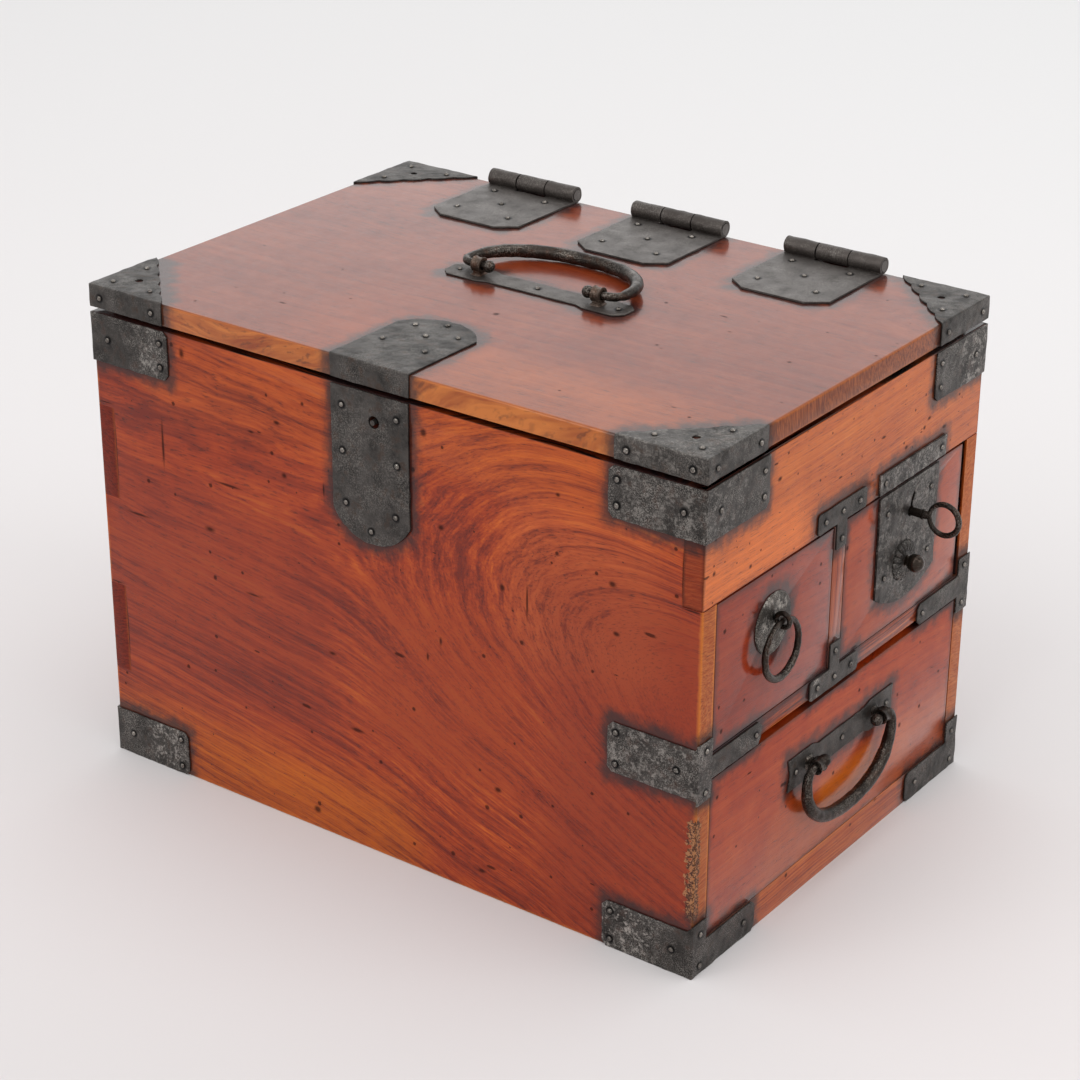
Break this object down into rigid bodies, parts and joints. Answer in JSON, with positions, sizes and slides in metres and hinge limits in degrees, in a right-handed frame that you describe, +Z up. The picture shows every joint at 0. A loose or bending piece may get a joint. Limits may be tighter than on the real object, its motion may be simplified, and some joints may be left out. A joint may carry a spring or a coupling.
{
  "type": "ship chest",
  "caption": "Small lidded wooden sea chest bound with wrought iron: a hinged lid with hasp lock over a tray, and three drawers in one end.",
  "frame": {"origin": "middle of the underside of the carcass, on the surface it stands on", "axes": "+X along the length towards the drawer end, -Y towards the long side with the lid lock, +Z up"},
  "size_m": [0.4449, 0.2892, 0.3068],
  "materials": {
    "lacquered_wood": "satin",
    "plain_wood": "matte",
    "iron": "satin",
    "black_iron": "satin",
    "nail_iron": "satin"
  },
  "bodies": {
    "chest": {"front_board": "lacquered_wood", "back_board": "lacquered_wood", "left_end_board": "lacquered_wood", "end_top_rail": "lacquered_wood", "middle_rail": "lacquered_wood", "drawer_shelf": "plain_wood", "upper_divider": "lacquered_wood", "tray_floor": "plain_wood", "bottom_board": "plain_wood", "sill_rail": "lacquered_wood", "lower_runners": "plain_wood", "drawer_guide": "plain_wood", "top_corner_irons": "iron", "middle_corner_irons": "iron", "bottom_corner_irons": "iron", "divider_tee_irons": "iron", "keeper_strap": "iron", "front_lock_plate": "iron", "front_lock_case": "iron", "body_hinge_leaves": "iron", "hinge_pins": "iron", "chest_nails": "nail_iron"},
    "front_bolt": {"front_lock_bolt": "iron"},
    "lid": {"lid_board": "lacquered_wood", "lid_battens": "plain_wood", "lid_corner_irons": "iron", "lid_hasp": "iron", "lid_staple": "iron", "lid_hinge_leaves": "iron", "lid_handle_plate": "iron", "lid_handle_posts": "black_iron", "lid_nails": "nail_iron"},
    "lid_handle": {"lid_bail": "black_iron"},
    "small_drawer": {"small_drawer_front": "lacquered_wood", "small_drawer_sides": "plain_wood", "small_drawer_back": "plain_wood", "small_drawer_bottom": "plain_wood", "small_drawer_ring_plate": "iron", "small_drawer_ring_eye": "black_iron"},
    "small_ring": {"small_drawer_ring": "black_iron"},
    "lock_drawer": {"lock_drawer_front": "lacquered_wood", "lock_drawer_sides": "plain_wood", "lock_drawer_back": "plain_wood", "lock_drawer_bottom": "plain_wood", "lock_plate": "iron", "lock_case": "iron", "lock_rosette": "black_iron", "lock_knob": "black_iron", "lock_plate_nails": "nail_iron"},
    "key": {"lock_key": "black_iron"},
    "drawer_bolt": {"lock_bolt": "iron"},
    "lower_drawer": {"lower_drawer_front": "lacquered_wood", "lower_drawer_sides": "plain_wood", "lower_drawer_back": "plain_wood", "lower_drawer_bottom": "plain_wood", "lower_drawer_handle_plate": "iron", "lower_drawer_posts": "black_iron", "handle_plate_nails": "nail_iron"},
    "lower_handle": {"lower_drawer_bail": "black_iron"}
  },
  "joints": [
    {"name": "lid_hinge", "type": "hinge", "parent": "chest", "child": "lid", "pos_m": [0, 0.1384, 0.3008], "axis": [-1, 0, 0], "range_deg": [0, 100]},
    {"name": "lid_handle_turn", "type": "hinge", "parent": "lid", "child": "lid_handle", "pos_m": [0, 0, 0.3024], "axis": [1, 0, 0], "range_deg": [0, 186]},
    {"name": "front_bolt_slide", "type": "slide", "parent": "chest", "child": "front_bolt", "axis": [1, 0, 0], "range_m": [0, 0.008]},
    {"name": "small_drawer_slide", "type": "slide", "parent": "chest", "child": "small_drawer", "axis": [1, 0, 0], "range_m": [0, 0.3]},
    {"name": "small_ring_turn", "type": "hinge", "parent": "small_drawer", "child": "small_ring", "pos_m": [0.2113, -0.075, 0.185], "axis": [0, -1, 0], "range_deg": [-3, 95]},
    {"name": "lock_drawer_slide", "type": "slide", "parent": "chest", "child": "lock_drawer", "axis": [1, 0, 0], "range_m": [0, 0.3]},
    {"name": "key_turn", "type": "hinge", "parent": "lock_drawer", "child": "key", "pos_m": [0.205, 0.065, 0.194], "axis": [1, 0, 0], "range_deg": [0, 180]},
    {"name": "drawer_bolt_slide", "type": "slide", "parent": "lock_drawer", "child": "drawer_bolt", "axis": [0, 0, 1], "range_m": [0, 0.006]},
    {"name": "lower_drawer_slide", "type": "slide", "parent": "chest", "child": "lower_drawer", "axis": [1, 0, 0], "range_m": [0, 0.3]},
    {"name": "lower_handle_turn", "type": "hinge", "parent": "lower_drawer", "child": "lower_handle", "pos_m": [0.2118, 0.0032, 0.08], "axis": [0, -1, 0], "range_deg": [-3, 110]}
  ],
  "couplings": [
    {"joint": "drawer_bolt_slide", "follows": "key_turn", "m_per_rad": 0.0019099}
  ]
}
